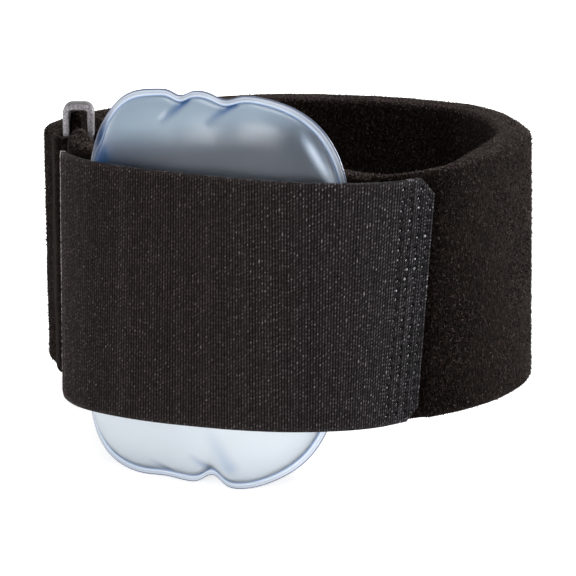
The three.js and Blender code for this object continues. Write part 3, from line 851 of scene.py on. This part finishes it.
def pillowRings(side, count, swell):
    # Points and looks of one film, ring by ring from its middle out to the weld
    rings = []
    for scale in np.sin(np.linspace(cell["firstRing"], 1, count) * np.pi / 2) ** cell["ringPower"]:
        across, up = cellPlace(cell["rimWidth"], scale)
        depth = swell * (1 - min(scale, 1) ** cell["fullness"]) ** cell["roundness"] + rimProfile[0][1]
        if side > 0:
            lobe = smoothStep((np.abs(up) - cell["lobeFrom"]) / cell["lobeOver"])  # fuller at both ends
            depth = depth * (1 + cell["lobe"] * lobe)
            depth = np.maximum(depth - creaseDepth(across, up), cell["creaseFloor"])
        rings.append((cellPoints(across, up, side * depth), filmLooks(across, up, scale, side)))
    return rings


def rimRings():
    rings = []
    slitFrom, slitTo = cell["slitRim"]
    for side, profile in ((1, rimProfile), (-1, rimProfile[::-1])):
        for inset, half, haze in profile:
            slit = slitShare * (slitFrom < inset < slitTo)
            looks = {
                "rimBand": max(1 - inset / cell["rimWidth"], cell["leastRim"]) + 0 * slit,
                # painted shade in the slit of the weld: dark blue, clear and without gloss
                "blueTintAndShade": cell["slitShade"] * slit, "haze": haze * (1 - slit),
                "milkTint": 0 * slit, "gloss": 1 - slit,
            }
            rings.append((cellPoints(*cellPlace(inset, 1), side * half), looks))
    return rings


def makeCell():
    rings = pillowRings(1, cell["frontRings"], cell["frontSwell"]) + rimRings()
    rings += pillowRings(-1, cell["backRings"], cell["backSwell"])[::-1]
    points = toPart(np.vstack([places for places, _ in rings]))
    piece = meshPiece("air_cell_film", points, tubeFaces(len(rings), cell["columns"]), materials["film"])
    for name in ("rimBand", "blueTintAndShade", "haze", "milkTint", "gloss"):
        setPointValue(piece, name, np.concatenate([looks[name] for _, looks in rings]))
    closeEnds(piece)  # the poles in the middle of both films
    return piece


cellPiece = makeCell()
keepAbove(cellPiece, cell["restLift"] * mm)
smooth(cellPiece)
ridesRoot(cellPiece, "air_cell")
print("air cell:", len(cellPiece.data.polygons), "faces")


# Moulded ring: a block with round corners, cut through by its slot

def makeRing():
    bpy.ops.object.select_all(action="DESELECT")
    bpy.ops.mesh.primitive_cube_add(size=1, location=ringMiddle)
    piece = bpy.context.object
    piece.name = piece.data.name = "ring_moulding"
    piece.scale = (ring["width"], ring["depth"], ring["top"] - ring["bottom"])
    bpy.ops.object.transform_apply(location=True, scale=True)

    def frontToBack(edge):
        a, b = (piece.data.vertices[i].co for i in edge.vertices)
        return abs(a.y - b.y) > ring["depth"] / 2

    selectWhere(piece, "EDGE", frontToBack)
    bpy.ops.mesh.bevel(offset=ring["cornerRadius"], segments=ring["cornerSteps"])
    selectWhere(piece, "FACE", lambda face: abs(face.normal.y) > facing)
    bpy.ops.mesh.inset(thickness=ring["bar"], use_individual=True)
    bpy.ops.mesh.bridge_edge_loops()
    turnOutwards()
    bevel = piece.modifiers.new("mould radius", "BEVEL")
    bevel.width = ring["edgeRound"]
    bevel.segments = ring["edgeSteps"]
    bevel.limit_method = "ANGLE"
    bevel.angle_limit = math.radians(ring["bevelAngle"])
    applyModifiers(piece)
    piece.data.transform(wornMatrix)
    piece.data.materials.append(materials["nylon"])
    smooth(piece, ring["smoothAngle"])
    ridesRoot(piece, "strap_ring")
    print("ring:", len(piece.data.polygons), "faces")


makeRing()

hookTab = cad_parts["hook_tab"]
hookTab.data.materials.clear()
hookTab.data.materials.append(materials["hooks"])
print("hook tab finished")


# Floor and light

stage = {"floorSize": 6.0, "floorDrop": 0.0001, "worldColor": "#ffffff", "worldStrength": 0.4}
bpy.ops.object.select_all(action="DESELECT")
bpy.ops.mesh.primitive_plane_add(size=stage["floorSize"], location=(0, 0, -stage["floorDrop"]))
floor = bpy.context.object
floor.name = "floor"
floor.data.materials.append(materials["floor"])

world = bpy.data.worlds.new("studio")
bpy.context.scene.world = world
world.use_nodes = True
background = world.node_tree.nodes["Background"]
background.inputs["Color"].default_value = linear(stage["worldColor"])
background.inputs["Strength"].default_value = stage["worldStrength"]

lamps = {  # place, point aimed at, width, height, watts
    "overhead": ((0.0, 0.15, 1.0), (0, 0, 0.03), 0.9, 0.7, 7.0),
    "leftFront": ((-0.57, -0.74, 0.42), (-0.01, -0.04, 0.06), 0.38, 0.32, 3.0),
    "leftBack": ((-0.65, 0.45, 0.2), (-0.03, 0, 0.04), 0.10, 0.40, 0.12),
    "rightFront": ((0.66, -0.56, 0.24), (0.02, -0.04, 0.06), 0.05, 0.40, 0.9),
    "rightStrip": ((0.72, 0.30, 0.18), (0, 0, 0.05), 0.14, 0.30, 12.0),
}
for name, (place, aim, width, height, watts) in lamps.items():
    lamp = bpy.data.lights.new(name, "AREA")
    lamp.shape = "RECTANGLE"
    lamp.size = width
    lamp.size_y = height
    lamp.energy = watts
    holder = bpy.data.objects.new(name, lamp)
    bpy.context.scene.collection.objects.link(holder)
    holder.location = place
    holder.rotation_euler = (Vector(aim) - Vector(place)).to_track_quat("-Z", "Y").to_euler()
print("stage lit")
